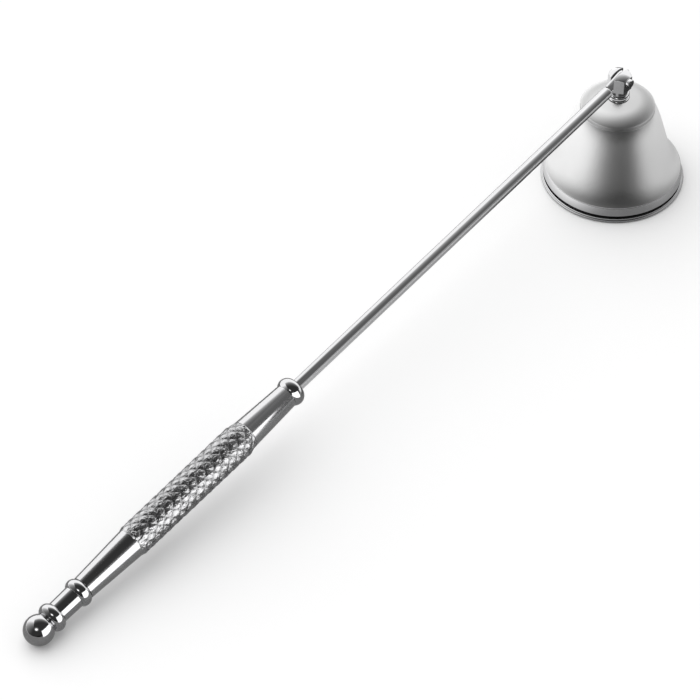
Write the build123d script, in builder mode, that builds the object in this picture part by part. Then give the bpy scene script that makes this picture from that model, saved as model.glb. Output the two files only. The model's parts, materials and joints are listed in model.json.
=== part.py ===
"""Candle snuffer: a bell on a polished rim, hinged to a long rod with a turned handle.

Frame: the origin is the centre of the bell's mouth on the table, +Z is up and +X points from the
bell to the handle. All lengths are millimetres and all angles are degrees.
"""

import os
from math import asin, cos, degrees, pi, radians, sin, tan

from build123d import *

os.makedirs("parts", exist_ok=True)

# General fits
overrun = 1.0
seat_clearance = 0.04
running_clearance = 0.05

# Rim ring
rim_radius = 20.75
rim_height = 4.8
lip_height = 1.3
lip_rounding = 0.6
band_foot_inset = 0.55
groove_width = 0.95
groove_depth = 1.2
band_proud = 0.15
foot_thickness = 1.6

# Bell shell
skirt_inset = 1.2
skirt_flare_angle = 48.0
bell_wall = 1.2
tongue_ledge = 0.5
crease_height = 26.3
crown_radius = 10.7
crown_flare_angle = 36.0
crown_rise = 3.5
crown_edge_radius = 0.9
crown_edge_turn = 48.0
crown_shoulder_radius = 7.3
crown_shoulder_turn = 38.0
crown_wall = 1.3
upper_pull_share = 0.26
lower_pull_share = 0.28
inner_corner_share = 0.85

# Post seat
seat_radius = 3.2
seat_side_radius = 2.75
seat_height = 1.35
seat_recess = 0.15

# Hinge post
post_across_flats = 6.0
post_base_radius = 3.05
post_base_height = 2.8
base_bead_height = 1.4
post_neck_radius = 2.6
pin_above_base = 3.2
dome_above_pin = 1.2
dome_rise = 1.2
spigot_radius = 2.0
spigot_end_gap = 0.15
slot_far_gap = 0.6
slot_near_gap = 0.08

# Fixing screw and its washer
screw_radius = 1.25
screw_hole_depth = 4.1
screw_tip_gap = 0.4
screw_head_radius = 2.3
screw_head_height = 1.5
driver_slot_width = 0.6
driver_slot_depth = 0.7
washer_radius = 3.6
washer_thickness = 0.7

# Hinge pin
pin_radius = 0.9
pin_head_radius = 1.35
pin_head_height = 1.1
pin_head_rounding = 0.2
pin_tail_radius = 1.3
pin_tail_height = 0.4

# Rod
rod_radius = 1.7
rod_reach = 137.3
rod_offset = 0.45
eye_radius = 2.3
eye_thickness = 0.7
eye_length = 5.8
eye_end_width = 3.0
eye_offset = -0.15
rod_end_cone = 0.5
tail_radius = 1.5
tail_edge = 0.3

# Handle rings
front_collar_width = 3.7
front_collar_radius = 4.05
front_collar_side = 3.15
tail_collar_width = 3.35
tail_collar_radius = 4.0
tail_collar_side = 3.1
end_collar_width = 3.5
end_collar_radius = 4.05
end_collar_side = 2.95

# Grip
front_taper_length = 15.6
front_taper_radius = 3.4
front_shoulder_radius = 4.1
knurl_length = 43.5
knurl_front_radius = 4.75
knurl_back_radius = 4.6
knurl_front_fade = 3.0
knurl_back_fade = 1.2
back_shoulder_radius = 4.2
back_taper_length = 17.35
back_taper_radius = 3.3

# Tail neck and ball
neck_length = 6.0
neck_front_radius = 3.15
neck_back_radius = 3.05
ball_radius = 4.1
ball_face_radius = 2.8
ball_hole_depth = 5.0
ball_hole_gap = 0.5

# Worked-out heights of the bell
skirt_radius = rim_radius - skirt_inset
mouth_radius = skirt_radius - bell_wall
tongue_radius = skirt_radius - tongue_ledge
tongue_foot = foot_thickness + seat_clearance
crown_height = crease_height + crown_rise
crown_inside = crown_height - crown_wall
seat_plane = crown_height - seat_recess
post_foot = seat_plane + seat_height
hex_foot = post_foot + post_base_height
pin_height = hex_foot + pin_above_base
post_corner_radius = post_across_flats / 2 / cos(pi / 6)
slot_width = slot_far_gap + eye_thickness + slot_near_gap
slot_middle = eye_offset + (slot_near_gap - slot_far_gap) / 2
spigot_hole_radius = spigot_radius + seat_clearance

# Worked-out places along the handle, counted from the pin
front_collar_start = rod_reach
grip_start = front_collar_start + front_collar_width
knurl_start = grip_start + front_taper_length
knurl_end = knurl_start + knurl_length
tail_collar_start = knurl_end + back_taper_length
neck_start = tail_collar_start + tail_collar_width
end_collar_start = neck_start + neck_length
ball_face = end_collar_start + end_collar_width
ball_face_inset = (ball_radius**2 - ball_face_radius**2) ** 0.5
ball_centre = ball_face + ball_face_inset
tail_end = ball_face + ball_hole_depth - ball_hole_gap
handle_bore = tail_radius + seat_clearance

# The ball lies on the table, so the handle slopes down from the pin to it
handle_slope = asin((pin_height - ball_radius) / ball_centre)
handle_plane = Plane(
    origin=(0, rod_offset, pin_height),
    x_dir=(cos(handle_slope), 0, -sin(handle_slope)),
    z_dir=(0, -1, 0),
)
handle_axis = Axis(handle_plane.origin, handle_plane.x_dir)
eye_plane = handle_plane.offset(rod_offset - eye_offset)


def save(builder, name):
    """Label a finished piece and write it as one STEP file."""
    builder.part.label = name
    export_step(builder.part, f"parts/{name}.step")


def along(point, angle, length):
    """A point moved by a length, down and outwards at an angle from the vertical."""
    return (point[0] + length * sin(radians(angle)), point[1] - length * cos(radians(angle)))


# Rim ring: flat foot, rounded lip, groove and sloping polished band round the shell's tongue
with BuildPart() as rim_ring:
    with BuildSketch(Plane.XZ):
        with BuildLine():
            lip_inside = rim_radius - lip_rounding
            rebate_radius = tongue_radius + seat_clearance
            Line((mouth_radius, 0), (lip_inside, 0))
            ThreePointArc((lip_inside, 0), (rim_radius, lip_height / 2), (lip_inside, lip_height))
            Polyline(
                (lip_inside, lip_height),
                (rim_radius - groove_depth, lip_height),
                (rim_radius - groove_depth, lip_height + groove_width),
                (rim_radius - band_foot_inset, lip_height + groove_width),
                (skirt_radius + band_proud, rim_height),
                (rebate_radius, rim_height),
                (rebate_radius, foot_thickness),
                (mouth_radius, foot_thickness),
                (mouth_radius, 0),
            )
        make_face()
    revolve(axis=Axis.Z)
save(rim_ring, "rim_ring")

# Bell shell: domed crown, crease, S-shaped wall, and a tongue that stands in the rim ring
with BuildPart() as bell_shell:
    with BuildSketch(Plane.XZ):
        with BuildLine():
            crease = (crown_radius, crease_height)
            skirt = (skirt_radius, rim_height)
            wall_drop = crease_height - rim_height
            upper_pull = along(crease, crown_flare_angle, wall_drop * upper_pull_share)
            lower_pull = along(skirt, skirt_flare_angle, -wall_drop * lower_pull_share)
            wall_points = [crease, upper_pull, lower_pull, skirt]
            inner_points = [(radius - bell_wall, height) for radius, height in wall_points]
            edge_turn = radians(crown_edge_turn)
            dome_turn = edge_turn + radians(crown_shoulder_turn)
            arc_step = crown_shoulder_radius - crown_edge_radius
            dome_start = (
                crown_radius
                - crown_edge_radius
                - arc_step * cos(edge_turn)
                + crown_shoulder_radius * cos(dome_turn)
            )
            dome_rise_share = tan((pi / 2 - dome_turn) / 2)
            edge_top = (
                crown_height
                - dome_start * dome_rise_share
                - crown_shoulder_radius * sin(dome_turn)
                + arc_step * sin(edge_turn)
            )
            inner_corner = (crown_inside - crease_height) * inner_corner_share
            Line(crease, (crown_radius, edge_top))
            crown_edge = JernArc((crown_radius, edge_top), (0, 1), crown_edge_radius, crown_edge_turn)
            shoulder = JernArc(crown_edge @ 1, crown_edge % 1, crown_shoulder_radius, crown_shoulder_turn)
            TangentArc(shoulder @ 1, (0, crown_height), tangent=shoulder % 1)
            Bezier(*wall_points)
            Polyline(
                skirt,
                (tongue_radius, rim_height),
                (tongue_radius, tongue_foot),
                (mouth_radius, tongue_foot),
                inner_points[-1],
            )
            Bezier(*inner_points)
            Line(inner_points[0], (inner_points[0][0], crown_inside - inner_corner))
            corner = JernArc((inner_points[0][0], crown_inside - inner_corner), (0, 1), inner_corner, 90)
            Polyline(corner @ 1, (0, crown_inside), (0, crown_height))
        make_face()
    revolve(axis=Axis.Z)
    with BuildSketch(Plane.XY.offset(seat_plane)):
        Circle(seat_side_radius + seat_clearance)
    extrude(amount=seat_recess + overrun, mode=Mode.SUBTRACT)
    with BuildSketch(Plane.XY.offset(crown_inside - overrun)):
        Circle(spigot_hole_radius)
    extrude(amount=crown_wall + 2 * overrun, mode=Mode.SUBTRACT)
save(bell_shell, "bell_shell")

# Post seat: the lower bead ring, let into the crown's shallow recess
with BuildPart() as post_seat:
    with BuildSketch(Plane.XZ):
        with BuildLine():
            seat_foot = (seat_side_radius, crown_height)
            seat_top = (seat_side_radius, post_foot)
            ThreePointArc(seat_foot, (seat_radius, (crown_height + post_foot) / 2), seat_top)
            Polyline(
                seat_top,
                (spigot_hole_radius, post_foot),
                (spigot_hole_radius, seat_plane),
                (seat_side_radius, seat_plane),
                seat_foot,
            )
        make_face()
    revolve(axis=Axis.Z)
save(post_seat, "post_seat")

# Hinge post: hexagonal bar with a turned dome, a bead ring, neck and spigot below, slotted for the eye
with BuildPart() as hinge_post:
    dome_foot = pin_height + dome_above_pin
    with BuildSketch(Plane.XY.offset(hex_foot)):
        RegularPolygon(post_across_flats / 2, 6, major_radius=False)
    extrude(amount=pin_above_base + dome_above_pin + dome_rise)
    with BuildSketch(Plane.XZ):
        with BuildLine():
            dome = TangentArc((0, dome_foot + dome_rise), (post_corner_radius, dome_foot), tangent=(1, 0))
            Polyline(
                dome @ 1,
                (post_corner_radius, hex_foot),
                (0, hex_foot),
                (0, dome_foot + dome_rise),
            )
        make_face()
    revolve(axis=Axis.Z, mode=Mode.INTERSECT)
    with BuildSketch(Plane.XZ):
        with BuildLine():
            bead_foot = (post_neck_radius, post_foot)
            bead_top = (post_neck_radius, post_foot + base_bead_height)
            ThreePointArc(bead_foot, (post_base_radius, post_foot + base_bead_height / 2), bead_top)
            Polyline(bead_top, (post_neck_radius, hex_foot), (0, hex_foot), (0, post_foot), bead_foot)
        make_face()
    revolve(axis=Axis.Z)
    with BuildSketch(Plane.XY.offset(crown_inside + spigot_end_gap)):
        Circle(spigot_radius)
    extrude(until=Until.NEXT)
    with BuildSketch(Plane.XY.offset(hex_foot)):
        with Locations((0, slot_middle)):
            Rectangle(2 * post_across_flats, slot_width)
    extrude(amount=2 * post_across_flats, mode=Mode.SUBTRACT)
    with BuildSketch(Plane.XZ):
        with Locations((0, pin_height)):
            Circle(pin_radius + seat_clearance)
    extrude(amount=post_across_flats, both=True, mode=Mode.SUBTRACT)
    with BuildSketch(Plane.XY.offset(crown_inside + spigot_end_gap)):
        Circle(screw_radius + seat_clearance)
    extrude(amount=screw_hole_depth, mode=Mode.SUBTRACT)
save(hinge_post, "hinge_post")

# Inner washer: bears on the flat underside of the crown
with BuildPart() as inner_washer:
    with BuildSketch(Plane.XY.offset(crown_inside)):
        Circle(washer_radius)
        Circle(screw_radius + seat_clearance, mode=Mode.SUBTRACT)
    extrude(amount=-washer_thickness)
save(inner_washer, "inner_washer")

# Fixing screw: goes up through washer and crown into the post's spigot
with BuildPart() as fixing_screw:
    head_top = crown_inside - washer_thickness
    screw_tip = crown_inside + spigot_end_gap + screw_hole_depth - screw_tip_gap
    with BuildSketch(Plane.XY.offset(head_top)):
        Circle(screw_radius)
    extrude(amount=screw_tip - head_top)
    with BuildSketch(Plane.XY.offset(head_top)):
        Circle(screw_head_radius)
    extrude(amount=-screw_head_height)
    with BuildSketch(Plane.XY.offset(head_top - screw_head_height)):
        Rectangle(2 * screw_head_radius + overrun, driver_slot_width)
    extrude(amount=driver_slot_depth, mode=Mode.SUBTRACT)
save(fixing_screw, "fixing_screw")

# Hinge pin: head on the +Y flat of the post, riveted tail on the other
with BuildPart() as hinge_pin:
    flat = post_across_flats / 2
    with BuildSketch(Plane.XZ.offset(-flat)):
        with Locations((0, pin_height)):
            Circle(pin_radius)
    extrude(amount=post_across_flats)
    with BuildSketch(Plane.XZ.offset(-flat)):
        with Locations((0, pin_height)):
            Circle(pin_head_radius)
    extrude(amount=-pin_head_height)
    with BuildSketch(Plane.XZ.offset(flat)):
        with Locations((0, pin_height)):
            Circle(pin_tail_radius)
    extrude(amount=pin_tail_height)
    pin_ends = hinge_pin.faces().filter_by(Axis.Y).sort_by(Axis.Y)
    fillet([pin_ends[0].edges()[0], pin_ends[-1].edges()[0]], radius=pin_head_rounding)
save(hinge_pin, "hinge_pin")

# Rod: flattened eye to one side of the axis, round rod, and a thinner tail through the whole handle
with BuildPart() as rod:
    with BuildSketch(handle_plane):
        Polygon(
            (eye_length, 0),
            (eye_length, rod_radius - rod_end_cone),
            (eye_length + rod_end_cone, rod_radius),
            (rod_reach, rod_radius),
            (rod_reach, tail_radius),
            (tail_end - tail_edge, tail_radius),
            (tail_end, tail_radius - tail_edge),
            (tail_end, 0),
            align=None,
        )
    revolve(axis=handle_axis)
    with BuildSketch(eye_plane):
        Circle(eye_radius)
        Polygon(
            (0, -eye_radius),
            (eye_length, -eye_end_width / 2),
            (eye_length, eye_end_width / 2),
            (0, eye_radius),
            align=None,
        )
    extrude(amount=eye_thickness / 2, both=True)
    with BuildSketch(eye_plane):
        Circle(pin_radius + running_clearance)
    extrude(amount=eye_thickness, both=True, mode=Mode.SUBTRACT)
save(rod, "rod")

# Bead rings of the handle: a rounded bead between two flat sides, on the rod's tail
bead_rings = {
    "front_collar": (front_collar_start, front_collar_width, front_collar_side, front_collar_radius),
    "tail_collar": (tail_collar_start, tail_collar_width, tail_collar_side, tail_collar_radius),
    "end_collar": (end_collar_start, end_collar_width, end_collar_side, end_collar_radius),
}
for ring_name, (start, width, side_radius, bead_radius) in bead_rings.items():
    with BuildPart() as bead_ring:
        with BuildSketch(handle_plane):
            with BuildLine():
                end = start + width
                ThreePointArc((start, side_radius), (start + width / 2, bead_radius), (end, side_radius))
                Polyline((end, side_radius), (end, handle_bore), (start, handle_bore), (start, side_radius))
            make_face()
        revolve(axis=handle_axis)
    save(bead_ring, ring_name)

# Grip: the knurl's outer envelope between two smooth tapers
with BuildPart() as grip:
    with BuildSketch(handle_plane):
        Polygon(
            (grip_start, handle_bore),
            (grip_start, front_taper_radius),
            (knurl_start, front_shoulder_radius),
            (knurl_start + knurl_front_fade, knurl_front_radius),
            (knurl_end - knurl_back_fade, knurl_back_radius),
            (knurl_end, back_shoulder_radius),
            (tail_collar_start, back_taper_radius),
            (tail_collar_start, handle_bore),
            align=None,
        )
    revolve(axis=handle_axis)
save(grip, "grip")

# Tail neck: the plain spool between the two rear rings
with BuildPart() as tail_neck:
    with BuildSketch(handle_plane):
        Polygon(
            (neck_start, handle_bore),
            (neck_start, neck_front_radius),
            (end_collar_start, neck_back_radius),
            (end_collar_start, handle_bore),
            align=None,
        )
    revolve(axis=handle_axis)
save(tail_neck, "tail_neck")

# Ball finial: a ball with one flat face, screwed on the rod's tail
with BuildPart() as ball_finial:
    with BuildSketch(handle_plane):
        with BuildLine():
            face_edge = (ball_face, ball_face_radius)
            back_pole = (ball_centre + ball_radius, 0)
            TangentArc(back_pole, face_edge, tangent=(0, 1))
            hole_end = ball_face + ball_hole_depth
            Polyline(face_edge, (ball_face, handle_bore), (hole_end, handle_bore), (hole_end, 0), back_pole)
        make_face()
    revolve(axis=handle_axis)
save(ball_finial, "ball_finial")

print(f"pin height {pin_height:.4f}  ball centre {ball_centre:.4f} from the pin")
print(f"handle slope {degrees(handle_slope):.4f} degrees  post top {dome_foot + dome_rise:.4f}")
print(f"overall length {ball_centre * cos(handle_slope) + ball_radius + rim_radius:.3f}")
print(f"inside of the crown {crown_inside:.3f}  screw head {head_top - screw_head_height:.3f}")
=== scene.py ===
"""Candle snuffer: a satin bell on a polished rim, hinged to a chrome rod with a knurled handle.

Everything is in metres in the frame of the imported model: the origin is the centre of the bell's mouth on the
table, +Z is up, +X runs from the bell to the handle and the hinge pin lies along Y.
"""

import json

import bpy
import numpy as np
from mathutils import Matrix, Vector


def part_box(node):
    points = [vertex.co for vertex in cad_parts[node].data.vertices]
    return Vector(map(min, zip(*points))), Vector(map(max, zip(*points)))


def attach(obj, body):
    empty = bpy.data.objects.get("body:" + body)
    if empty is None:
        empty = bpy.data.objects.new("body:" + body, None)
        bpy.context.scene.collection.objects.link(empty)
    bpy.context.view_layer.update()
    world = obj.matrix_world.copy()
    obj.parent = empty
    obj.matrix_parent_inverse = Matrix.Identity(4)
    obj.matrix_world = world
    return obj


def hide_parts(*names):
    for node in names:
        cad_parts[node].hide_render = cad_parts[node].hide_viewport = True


bl_info = {
    "name": "Candle snuffer",
    "version": (1, 0, 0),
    "blender": (4, 5, 0),
    "location": "3D view > Sidebar > Snuffer",
    "description": "Builds the visible surfaces, finishes and studio of a hinged candle snuffer",
    "category": "Object",
}

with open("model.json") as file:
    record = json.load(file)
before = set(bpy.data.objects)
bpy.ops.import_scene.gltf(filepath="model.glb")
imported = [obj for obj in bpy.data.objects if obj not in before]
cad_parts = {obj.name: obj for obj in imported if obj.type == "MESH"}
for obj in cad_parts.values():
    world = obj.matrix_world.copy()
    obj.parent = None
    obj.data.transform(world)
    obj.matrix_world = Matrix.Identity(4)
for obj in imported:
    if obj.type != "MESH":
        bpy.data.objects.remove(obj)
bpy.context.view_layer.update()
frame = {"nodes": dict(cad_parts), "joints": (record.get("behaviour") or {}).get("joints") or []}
MM = 0.001
PIN = np.array(frame["joints"][0]["pos_m"], float)
RIM_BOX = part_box("rim_ring")
BALL_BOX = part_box("ball_finial")
SEAT_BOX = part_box("post_seat")
POST_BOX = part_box("hinge_post")
# Radius of the hole for the post's spigot, and of the bore that the rod's tail goes through
SPIGOT_HOLE = 2.04 * MM
TAIL_BORE = 1.54 * MM


def to_linear(hex_colour):
    """Turn an sRGB hex value into linear red, green and blue."""
    srgb = np.array([int(hex_colour[i : i + 2], 16) for i in (1, 3, 5)]) / 255
    linear = np.where(srgb <= 0.04045, srgb / 12.92, ((srgb + 0.055) / 1.055) ** 2.4)
    return tuple(float(share) for share in linear)


def length(name, description, millimetres):
    """A length that a user can change, given in millimetres and kept in metres."""
    return bpy.props.FloatProperty(
        name=name, description=description, default=millimetres * MM, min=0, unit="LENGTH", precision=5
    )


def colour(name, description, hex_colour):
    """A colour that a user can change, given as an sRGB hex value and kept linear."""
    return bpy.props.FloatVectorProperty(
        name=name, description=description, default=to_linear(hex_colour), min=0, max=1, subtype="COLOR"
    )


def share(name, description, default):
    """A share from 0 to 1 that a user can change."""
    return bpy.props.FloatProperty(
        name=name, description=description, default=default, min=0, max=1, subtype="FACTOR"
    )


def amount(name, description, default):
    """A plain number above 0 that a user can change."""
    return bpy.props.FloatProperty(name=name, description=description, default=default, min=0)


def angle(name, description, degrees):
    """An angle that a user can change, given in degrees."""
    return bpy.props.FloatProperty(
        name=name, description=description, default=np.radians(degrees), subtype="ANGLE"
    )


class SnufferBell(bpy.types.PropertyGroup):
    """Sizes of the bell, its rim and the hinge on its crown."""

    rim_radius: length("Rim radius", "Outside of the polished rim's lip", RIM_BOX[1].x / MM)
    rim_height: length("Rim height", "Top of the polished band under the satin wall", RIM_BOX[1].z / MM)
    lip_height: length("Lip height", "Height of the rounded lip under the groove", 1.3)
    skirt_radius: length("Skirt radius", "Outside of the satin wall at the rim", 19.55)
    crease_height: length("Crease height", "Where the wall meets the crown's shoulder", 26.3)
    crown_radius: length("Crown radius", "Outside of the crown at the crease", 10.7)
    crown_height: length("Crown height", "Top of the crown", 29.8)
    wall: length("Wall", "Thickness of the spun metal, measured level", 1.2)
    post_across_flats: length("Post across flats", "Width of the hexagonal post", 6.0)
    slot_near: length("Slot near side", "Slot's wall on the pin head's side, from the post's middle", 0.28)
    slot_far: length("Slot far side", "Other wall of the slot, from the post's middle", 1.1)
    pin_head_radius: length("Pin head radius", "Round head of the cross pin", 1.35)


class SnufferHandle(bpy.types.PropertyGroup):
    """Sizes of the rod and the turned handle, counted along the rod from the hinge pin."""

    rod_radius: length("Rod radius", "Round rod between hinge and handle", 1.7)
    rod_reach: length("Rod reach", "From the hinge pin to the first bead ring", 137.3)
    eye_radius: length("Eye radius", "Flattened eye on the hinge pin", 2.3)
    eye_thickness: length("Eye thickness", "Thickness of the flattened eye", 0.7)
    knurl_length: length("Knurl length", "Length of the knurled part of the grip", 43.5)
    knurl_depth: length("Knurl depth", "Depth of the knurl's grooves", 0.24)
    knurl_pitch: length("Knurl pitch", "Distance between diamonds along the grip", 3.03)
    knurl_starts: bpy.props.IntProperty(
        name="Knurl starts", description="Diamonds round the grip", default=8, min=3, max=40
    )
    ball_radius: length("Ball radius", "Ball at the end of the handle", 4.1)


class SnufferFinish(bpy.types.PropertyGroup):
    """Colours and gloss of the metals."""

    satin_colour: colour("Satin steel", "Reflected colour of the spun bell", "#cfcfcf")
    # Painted shade: this darker colour stands in for the shade in the crease under the crown
    crease_shade_colour: colour("Crease", "Duller metal in the crease, where the wheel can't reach", "#a4a4a4")
    satin_roughness: share("Satin roughness", "How far the bell spreads a reflection", 0.342)
    chrome_colour: colour("Chrome", "Reflected colour of the polished plating", "#c9c9ca")
    chrome_roughness: share("Chrome roughness", "How far the plating spreads a reflection", 0.06)
    # Painted shade: this darker colour stands in for the shade at the bottom of the knurl's grooves
    knurl_groove_shade_colour: colour("Groove", "Dulled plating at the bottom of the knurl's grooves", "#8e8e8f")
    # Painted shade: this dark colour stands in for the shade at the bottom of the rim's groove
    rim_groove_shade_colour: colour("Rim groove", "Unpolished metal at the bottom of the rim's groove", "#6a6a6a")
    zinc_colour: colour("Zinc plate", "Plain plating of the screw and washer inside the bell", "#b2b3b3")


class SnufferStudio(bpy.types.PropertyGroup):
    """The table, the light tent and the camera."""

    table_colour: colour("Table", "Pale table that the camera sees", "#f4f4f4")
    mirrored_colour: colour("Mirrored table", "Greyer table that only the metal mirrors", "#8c8c8c")
    mirrored_gloss: share("Mirrored sheen", "Sheen of the table that the metal mirrors", 0.5)
    tent_strength: amount("Tent strength", "Radiance of the tent's white cloth", 1.5)
    key_strength: amount("Key strength", "Strength of the soft key light", 1.88)
    key_spread: angle("Key spread", "Width of the soft key light as the snuffer sees it", 95)
    room_strength: amount("Room strength", "Radiance of the pale room that lights the table", 0.63)
    camera_azimuth: angle("Camera azimuth", "Turn of the camera round the bell", 132.03)
    camera_elevation: angle("Camera elevation", "Tilt of the camera above the table", 46.32)
    camera_distance: length("Camera distance", "Depth of the bell's mouth in the view", 874.35)
    lens: amount("Lens", "Focal length in millimetres", 154.29)


def directions(azimuth, elevation=0.0):
    """The viewer's right, up and forward directions for a turn and a tilt of the camera."""
    right = np.array([np.cos(azimuth), np.sin(azimuth), 0.0])
    away = np.array([-np.sin(azimuth), np.cos(azimuth), 0.0])
    level = np.array([0.0, 0.0, 1.0])
    forward = np.cos(elevation) * away - np.sin(elevation) * level
    up = np.sin(elevation) * away + np.cos(elevation) * level
    return right, up, forward


def step(x):
    """Smooth step 1 / (1 + exp(-x)) from 0 to 1."""
    return 1 / (1 + np.exp(-np.clip(x, -60, 60)))


def handle_axes(handle):
    """Origin, axis, side and over directions of the handle, which slopes from the pin to the ball.

    The slope is the turn whose sine is the pin's height above the ball's centre over their distance. The rod
    lies a little to one side of the bell's middle, as far as the ball does.
    """
    aside = (BALL_BOX[0].y + BALL_BOX[1].y) / 2
    origin = PIN + np.array([0, aside, 0])
    ball_centre = np.array([BALL_BOX[1].x - handle.ball_radius, aside, handle.ball_radius])
    axis = (ball_centre - origin) / np.linalg.norm(ball_centre - origin)
    side = np.array([0.0, 1.0, 0.0])
    return origin, axis, side, np.cross(axis, side)


BELL_PIECES = ("spun_bell", "rim_band_and_lip")
HANDLE_PIECES = (
    "post_seat_ring", "slotted_hex_post", "cross_pin", "rod_with_eye", "bead_front_collar",
    "bead_tail_collar", "bead_end_collar", "plain_neck", "ball_end", "knurled_grip",
)
BELL_AXES = (np.zeros(3), np.array([0.0, 0.0, 1.0]), np.array([1.0, 0.0, 0.0]), np.array([0.0, 1.0, 0.0]))
PIN_AXES = (PIN, np.array([0.0, 1.0, 0.0]), np.array([0.0, 0.0, 1.0]), np.array([1.0, 0.0, 0.0]))


def eased(corners, closed=False, steps=7):
    """Round the corners of a profile.

    corners holds (along, radius, easing) rows. Each corner becomes (1-t)^2 start + 2t(1-t) corner + t^2 end,
    where start and end lie one easing away from the corner on its two sides.
    """
    corners = np.array(corners, float)
    spot, easing = corners[:, :2], corners[:, 2:]
    before = np.roll(spot, 1, 0) - spot
    after = np.roll(spot, -1, 0) - spot
    start = spot + easing * before / np.linalg.norm(before, axis=1, keepdims=True)
    end = spot + easing * after / np.linalg.norm(after, axis=1, keepdims=True)
    t = np.linspace(0, 1, steps)[:, None, None]
    line = ((1 - t) ** 2 * start + 2 * t * (1 - t) * spot + t**2 * end).transpose(1, 0, 2)
    if not closed:
        line[0] = spot[0]
        line[-1] = spot[-1]
    line = line.reshape(-1, 2)
    keep = np.linalg.norm(np.diff(line, axis=0, prepend=line[:1] - 1), axis=1) > 1e-8
    return line[keep]


def arc(centre, radius, start, end, steps):
    """Points centre + radius (cos a, sin a) for a from start to end."""
    angle = np.linspace(start, end, steps)
    return np.array(centre) + radius * np.stack([np.cos(angle), np.sin(angle)], 1)


def bezier(points, steps):
    """Cubic curve (1-t)^3 p0 + 3t(1-t)^2 p1 + 3t^2(1-t) p2 + t^3 p3."""
    t = np.linspace(0, 1, steps)[:, None]
    p = np.array(points, float)
    return (1 - t) ** 3 * p[0] + 3 * t * (1 - t) ** 2 * p[1] + 3 * t**2 * (1 - t) * p[2] + t**3 * p[3]


def bead(start, width, flank, radius, steps=28):
    """Corner rows of a round bead: the arc from flank over radius back to flank, (radius, along) for each."""
    swell, half = radius - flank, width / 2
    bulge = (half**2 + swell**2) / 2 / swell
    reach = np.arcsin(min(1.0, half / bulge))
    return with_easing(arc((radius - bulge, start + half), bulge, -reach, reach, steps))


def with_easing(line, easing=0.0):
    """A run of points as corner rows with one easing."""
    return np.column_stack([line, np.full(len(line), easing)])


def grid(points, closed, tips=None):
    """Faces over a grid of points whose columns go once round.

    points[i, j] is row i and column j. A closed grid joins its last row to its first. Otherwise tips holds
    the two end points, and each end is closed by a fan. Returns flat points, faces and face corners' (u, v),
    where u is the share of a turn and v the metres along the first column. Faces point outwards.
    """
    rows, columns = points.shape[:2]
    flat = points.reshape(-1, 3)
    steps = np.linalg.norm(np.diff(points[:, 0], axis=0, append=points[:1, 0]), axis=1)
    along = np.concatenate([[0.0], np.cumsum(steps)])
    i, j = np.meshgrid(np.arange(rows if closed else rows - 1), np.arange(columns), indexing="ij")
    i, j = i.ravel(), j.ravel()
    up, over = (i + 1) % rows, (j + 1) % columns
    faces = np.stack([i * columns + j, i * columns + over, up * columns + over, up * columns + j], 1)
    u = np.stack([j, j + 1, j + 1, j], 1) / columns
    v = np.stack([along[i], along[i], along[i + 1], along[i + 1]], 1)
    uv = np.stack([u, v], 2)
    fans, fan_uv = np.zeros((0, 3), int), np.zeros((0, 3, 2))
    if not closed:
        flat = np.concatenate([flat, np.array(tips)])
        j = np.arange(columns)
        over = (j + 1) % columns
        last = (rows - 1) * columns
        low = np.stack([over, j, np.full(columns, len(flat) - 2)], 1)
        high = np.stack([last + j, last + over, np.full(columns, len(flat) - 1)], 1)
        fans = np.concatenate([low, high])
        low_uv = np.stack([np.stack([j + 1, j, j + 0.5], 1) / columns, np.zeros((columns, 3))], 2)
        high_uv = np.stack(
            [np.stack([j, j + 1, j + 0.5], 1) / columns, np.full((columns, 3), along[rows - 1])], 2
        )
        fan_uv = np.concatenate([low_uv, high_uv])
    a, b, c, d = (flat[faces[:, k]] for k in range(4))
    volume = np.sum(a * np.cross(b, c)) + np.sum(a * np.cross(c, d))
    if len(fans):
        volume += np.sum(flat[fans[:, 0]] * np.cross(flat[fans[:, 1]], flat[fans[:, 2]]))
    if volume < 0:
        faces, uv, fans, fan_uv = faces[:, ::-1], uv[:, ::-1], fans[:, ::-1], fan_uv[:, ::-1]
    corner_uv = np.concatenate([uv.reshape(-1, 2), fan_uv.reshape(-1, 2)])
    return flat, faces.tolist() + fans.tolist(), corner_uv


def turned(profile, axes, segments=160, tips=None, radius=None):
    """Carry a profile round an axis.

    point = origin + along axis + radius (cos a side + sin a over), with a going once round. radius may be a
    table of one value for each row and column, where the turned form has a pattern cut into it. tips are the
    places along the axis where the two ends close; without tips the profile is a closed loop.
    """
    origin, axis, side, over = axes
    angle = np.linspace(0, 2 * np.pi, segments, endpoint=False)
    ring = np.cos(angle)[:, None] * side + np.sin(angle)[:, None] * over
    if radius is None:
        radius = np.repeat(profile[:, 1:], segments, 1)
    points = origin + profile[:, :1, None] * axis + radius[:, :, None] * ring
    ends = None if tips is None else [origin + tip * axis for tip in tips]
    return grid(points, tips is None, ends)


def joined(*surfaces):
    """Several surfaces as one piece: the points follow each other and the faces count on."""
    start = np.cumsum([0] + [len(points) for points, _, _ in surfaces])
    points = np.concatenate([points for points, _, _ in surfaces])
    faces = [[k + first for k in face] for first, (_, some, _) in zip(start, surfaces) for face in some]
    return points, faces, np.concatenate([uv for _, _, uv in surfaces])


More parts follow.
